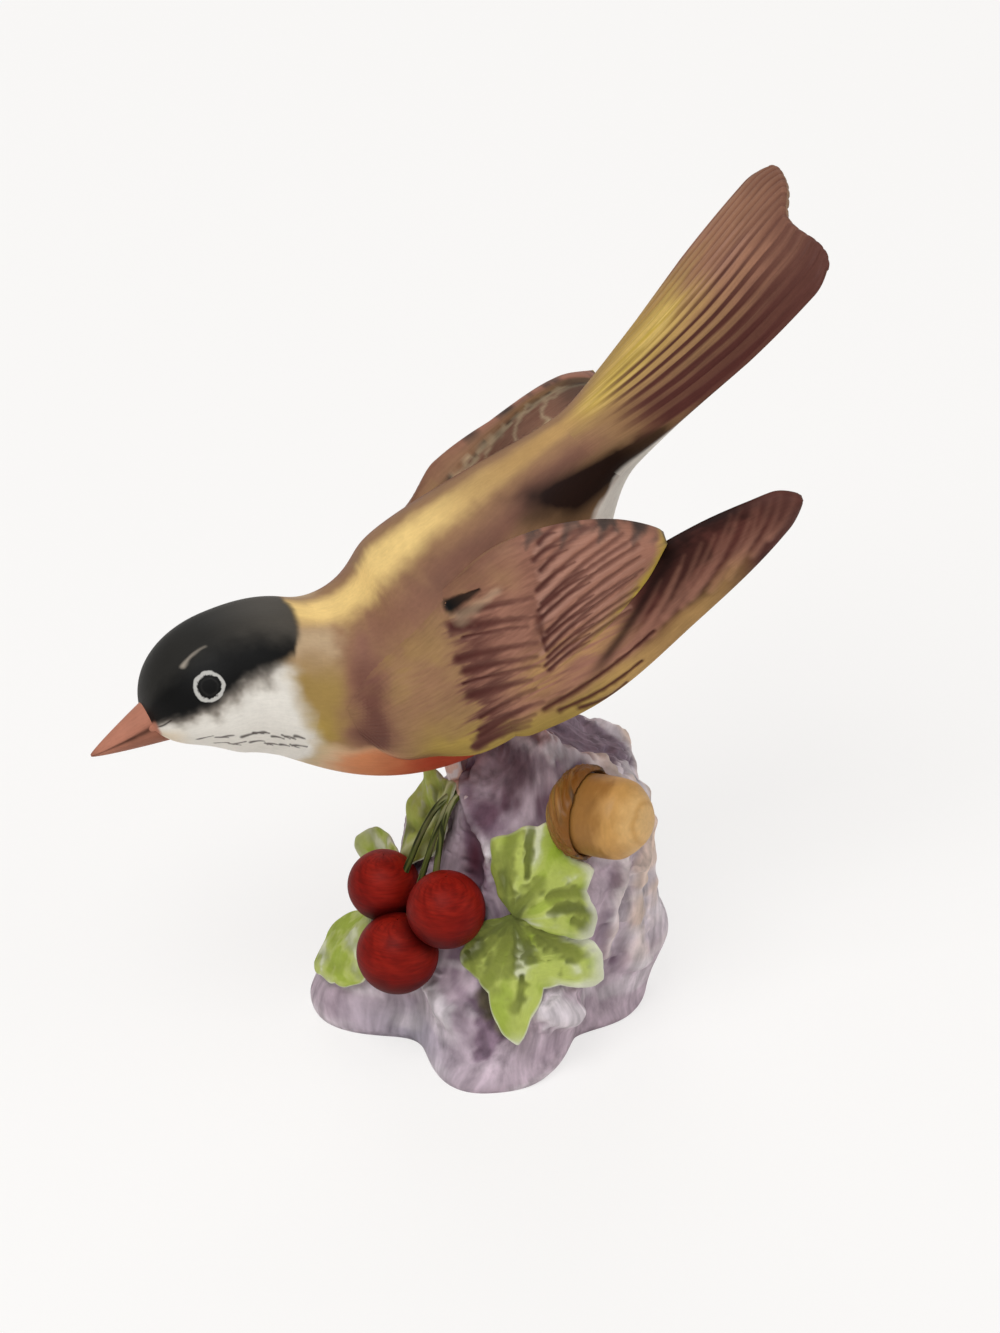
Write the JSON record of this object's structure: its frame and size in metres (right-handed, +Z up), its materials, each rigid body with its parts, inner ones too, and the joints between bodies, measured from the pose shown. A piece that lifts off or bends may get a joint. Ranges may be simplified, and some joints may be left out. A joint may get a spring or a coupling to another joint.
{
  "type": "bird figurine",
  "caption": "Painted bisque porcelain songbird with cocked tail, perched on a root-footed stump with holly leaves, berries and an acorn; stands free on its flat foot.",
  "frame": {"origin": "middle of the flat foot, on the surface that the figurine stands on", "axes": "+Z up; the bird faces -X, its tail points to +X and its left side is -Y"},
  "size_m": [0.0943, 0.0448, 0.11],
  "materials": {
    "bark_paint": "matt bisque, hand painted in lilac",
    "body_paint": "matt bisque, hand painted in ochre and brown",
    "head_paint": "matt bisque, black cap over a white cheek",
    "beak_paint": "matt bisque, coral",
    "wing_paint": "matt bisque, mauve brown with dark brush strokes",
    "tail_paint": "matt bisque, mauve brown fading from ochre",
    "leg_paint": "matt bisque, pale pink",
    "berry_paint": "bisque with a soft sheen, dark red",
    "stem_paint": "matt bisque, brown",
    "leaf_paint": "matt bisque, yellow green with grey-green strokes",
    "cup_paint": "matt bisque, olive brown",
    "nut_paint": "bisque with a soft sheen, amber"
  },
  "bodies": {
    "root": {"stump_base": "bark_paint", "bird_body": "body_paint", "bird_head": "head_paint", "beak": "beak_paint", "left_wing": "wing_paint", "right_wing": "wing_paint", "tail": "tail_paint", "left_leg": "leg_paint", "right_leg": "leg_paint", "berry_left": "berry_paint", "berry_right": "berry_paint", "berry_front": "berry_paint", "berry_stems": "stem_paint", "leaf_upper": "leaf_paint", "leaf_lower": "leaf_paint", "leaf_sprig": "leaf_paint", "leaf_back": "leaf_paint", "leaf_root": "leaf_paint", "acorn_cup": "cup_paint", "acorn_nut": "nut_paint"}
  },
  "joints": []
}
